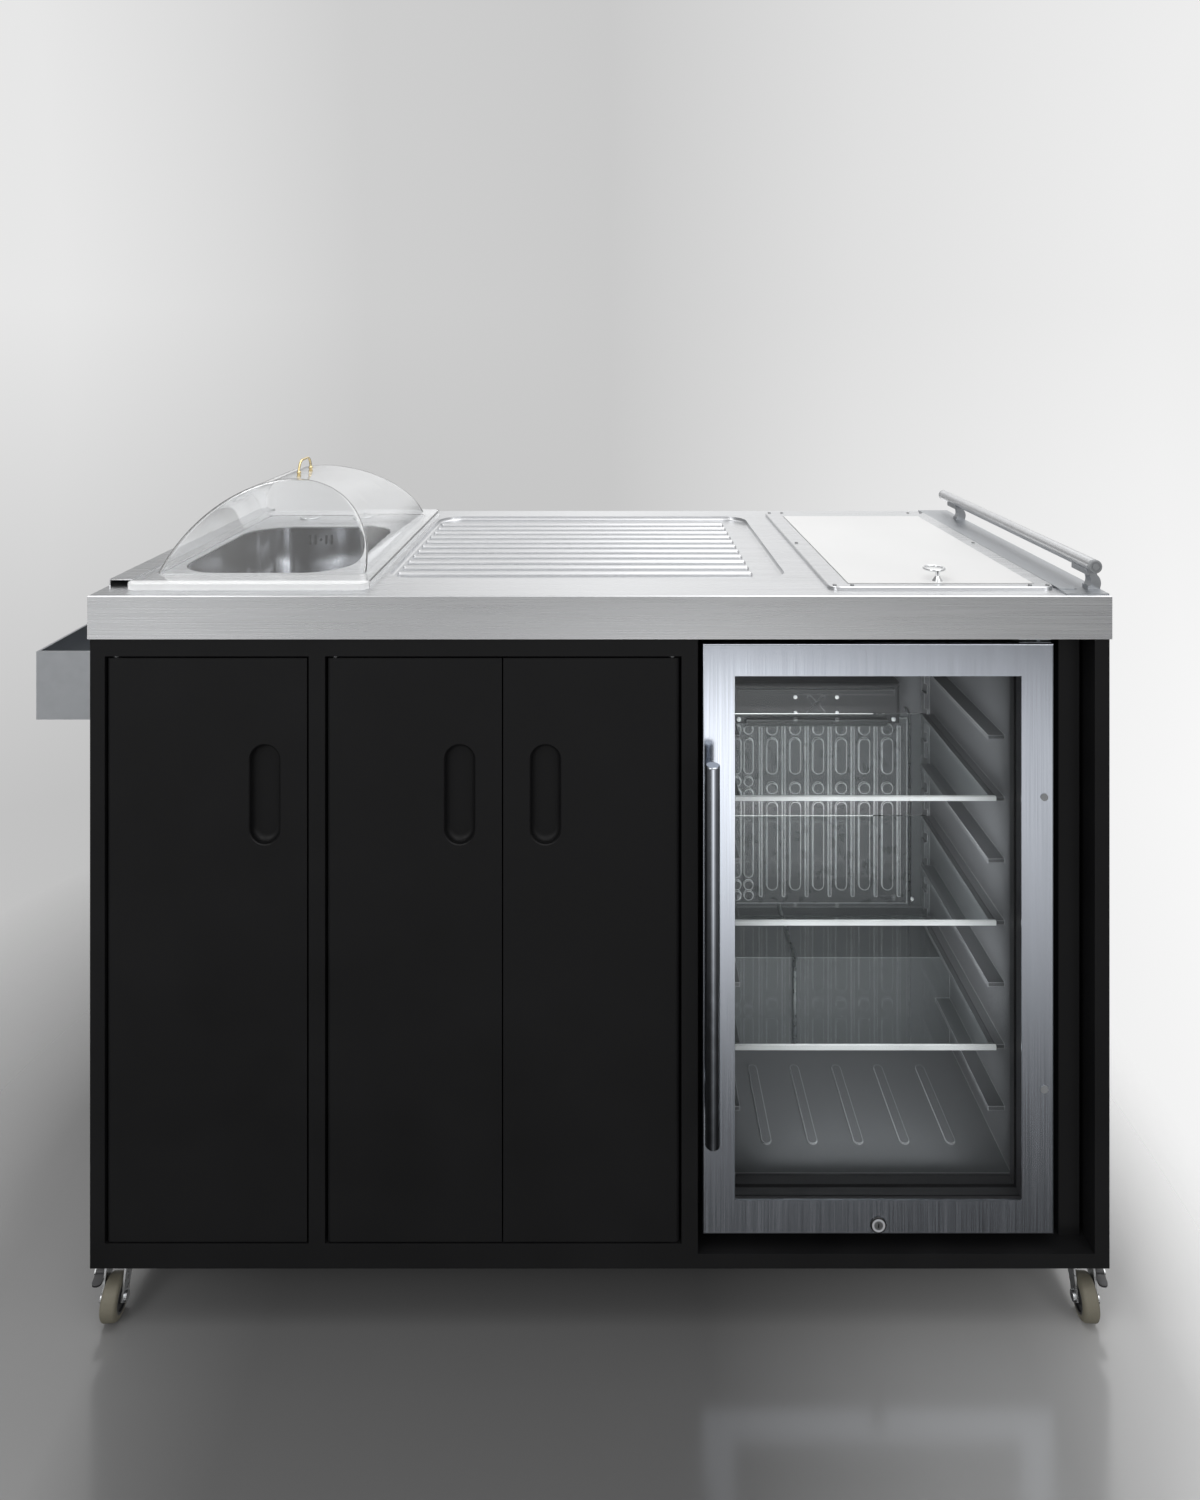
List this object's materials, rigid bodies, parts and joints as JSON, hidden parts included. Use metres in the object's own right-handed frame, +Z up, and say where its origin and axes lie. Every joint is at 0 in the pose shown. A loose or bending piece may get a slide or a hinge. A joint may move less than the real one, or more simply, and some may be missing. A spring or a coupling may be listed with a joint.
{
  "type": "portable outdoor kitchenette",
  "caption": "Rolling outdoor kitchen cabinet with stainless worktop, covered sink, drainboard, lidded cold pan, glass door refrigerator, side rack and push handle.",
  "frame": {"origin": "middle of the whole object's box, on the floor", "axes": "+Z up, -Y towards the user at the front, +X to the right seen from the front"},
  "size_m": [1.5045, 0.667, 1.1493],
  "materials": {
    "black_panel": "matt black laminate on board",
    "stainless": "brushed stainless steel",
    "dull_steel": "dull stainless steel",
    "screw": "dull screw heads",
    "bowl_steel": "drawn stainless steel, satin",
    "clear_cover": "clear moulded plastic",
    "brass": "polished brass",
    "white_board": "white board",
    "chrome": "polished",
    "door_steel": "brushed stainless steel",
    "dark_bar": "polished steel bar",
    "clear_glass": "clear glass",
    "shelf_glass": "clear glass",
    "white_trim": "clear white strip",
    "black_plastic": "moulded black plastic",
    "dark_liner": "moulded dark grey plastic",
    "gasket": "soft black seal",
    "fridge_case": "black skin over foam",
    "zinc": "zinc plated steel",
    "tread": "grey brown tread",
    "compressor": "black paint",
    "grey_plug": "grey plug"
  },
  "bodies": {
    "cabinet": {"base_panel": "black_panel", "left_side_panel": "black_panel", "right_side_panel": "black_panel", "sink_bay_divider": "black_panel", "fridge_bay_divider": "black_panel", "back_panel": "black_panel", "front_rails": "black_panel", "niche_filler_strip": "black_panel", "door_pivot_pins": "zinc", "worktop": "stainless", "sink_bowl": "bowl_steel", "sink_waste": "chrome", "tap_hole_plugs": "chrome", "edge_channel": "stainless", "cold_pan": "bowl_steel", "pan_bezel": "stainless", "bezel_screws": "screw", "lid_hinge_pins": "chrome", "push_handle_plate": "dull_steel", "push_handle_tube": "stainless", "push_handle_caps": "grey_plug", "push_handle_brackets": "dull_steel", "side_rack": "dull_steel", "rack_screws": "screw", "caster_plates": "zinc", "fridge_cabinet": "fridge_case", "fridge_liner": "dark_liner", "shelf_glasses": "shelf_glass", "shelf_trims": "white_trim", "evaporator_panel": "dark_liner", "fan_housing": "black_plastic", "compressor": "compressor", "fridge_feet": "black_plastic", "fridge_hinges": "zinc"},
    "left_door": {"left_door": "black_panel"},
    "middle_left_door": {"middle_left_door": "black_panel"},
    "middle_right_door": {"middle_right_door": "black_panel"},
    "fridge_door": {"fridge_door_frame": "door_steel", "fridge_door_panes": "clear_glass", "pane_spacer": "black_plastic", "fridge_door_liner": "black_plastic", "fridge_door_gasket": "gasket", "fridge_handle": "dark_bar", "door_hole_plugs": "grey_plug", "lock_housing": "chrome"},
    "lock": {"lock_barrel": "chrome"},
    "sink_cover": {"sink_cover": "clear_cover", "cover_handle": "brass"},
    "pan_lid": {"pan_lid": "white_board", "lid_knob": "chrome"},
    "front_left_caster": {"front_left_fork": "zinc"},
    "front_left_wheel": {"front_left_wheel": "tread"},
    "front_left_brake": {"front_left_brake_pedal": "black_plastic"},
    "front_right_caster": {"front_right_fork": "zinc"},
    "front_right_wheel": {"front_right_wheel": "tread"},
    "front_right_brake": {"front_right_brake_pedal": "black_plastic"},
    "rear_left_caster": {"rear_left_fork": "zinc"},
    "rear_left_wheel": {"rear_left_wheel": "tread"},
    "rear_right_caster": {"rear_right_fork": "zinc"},
    "rear_right_wheel": {"rear_right_wheel": "tread"}
  },
  "joints": [
    {"name": "left_door_hinge", "type": "hinge", "parent": "cabinet", "child": "left_door", "pos_m": [-0.6079, -0.286, 0.514], "axis": [0, 0, -1], "range_deg": [0, 110]},
    {"name": "middle_left_door_hinge", "type": "hinge", "parent": "cabinet", "child": "middle_left_door", "pos_m": [-0.3079, -0.286, 0.514], "axis": [0, 0, -1], "range_deg": [0, 110]},
    {"name": "middle_right_door_hinge", "type": "hinge", "parent": "cabinet", "child": "middle_right_door", "pos_m": [0.1529, -0.286, 0.514], "axis": [0, 0, 1], "range_deg": [0, 110]},
    {"name": "fridge_door_hinge", "type": "hinge", "parent": "cabinet", "child": "fridge_door", "pos_m": [0.663, -0.2665, 0.52395], "axis": [0, 0, 1], "range_deg": [0, 110]},
    {"name": "lock_turn", "type": "hinge", "parent": "fridge_door", "child": "lock", "pos_m": [0.4355, -0.2865, 0.1331], "axis": [0, 1, 0], "range_deg": [0, 90]},
    {"name": "sink_cover_lift", "type": "slide", "parent": "cabinet", "child": "sink_cover", "axis": [0, 0, 1], "range_m": [0, 0.3]},
    {"name": "pan_lid_hinge", "type": "hinge", "parent": "cabinet", "child": "pan_lid", "pos_m": [0.534, 0.249, 0.9998], "axis": [-1, 0, 0], "range_deg": [0, 95]},
    {"name": "front_left_swivel", "type": "hinge", "parent": "cabinet", "child": "front_left_caster", "pos_m": [-0.6165, -0.256, 0.0726], "axis": [0, 0, 1], "continuous": true},
    {"name": "front_left_roll", "type": "hinge", "parent": "front_left_caster", "child": "front_left_wheel", "pos_m": [-0.61496, -0.27795, 0.026], "axis": [0.9976, 0.0698, 0], "continuous": true},
    {"name": "front_left_brake_release", "type": "hinge", "parent": "front_left_caster", "child": "front_left_brake", "pos_m": [-0.61552, -0.26997, 0.054], "axis": [-0.9976, -0.0698, 0], "range_deg": [0, 12]},
    {"name": "front_right_swivel", "type": "hinge", "parent": "cabinet", "child": "front_right_caster", "pos_m": [0.7245, -0.256, 0.0726], "axis": [0, 0, 1], "continuous": true},
    {"name": "front_right_roll", "type": "hinge", "parent": "front_right_caster", "child": "front_right_wheel", "pos_m": [0.72296, -0.27795, 0.026], "axis": [0.9976, -0.0698, 0], "continuous": true},
    {"name": "front_right_brake_release", "type": "hinge", "parent": "front_right_caster", "child": "front_right_brake", "pos_m": [0.72352, -0.26997, 0.054], "axis": [-0.9976, 0.0698, 0], "range_deg": [0, 12]},
    {"name": "rear_left_swivel", "type": "hinge", "parent": "cabinet", "child": "rear_left_caster", "pos_m": [-0.6165, 0.275, 0.0726], "axis": [0, 0, 1], "continuous": true},
    {"name": "rear_left_roll", "type": "hinge", "parent": "rear_left_caster", "child": "rear_left_wheel", "pos_m": [-0.59745, 0.264, 0.026], "axis": [0.5, 0.866, 0], "continuous": true},
    {"name": "rear_right_swivel", "type": "hinge", "parent": "cabinet", "child": "rear_right_caster", "pos_m": [0.7245, 0.275, 0.0726], "axis": [0, 0, 1], "continuous": true},
    {"name": "rear_right_roll", "type": "hinge", "parent": "rear_right_caster", "child": "rear_right_wheel", "pos_m": [0.70456, 0.2657, 0.026], "axis": [0.4226, -0.9063, 0], "continuous": true}
  ]
}
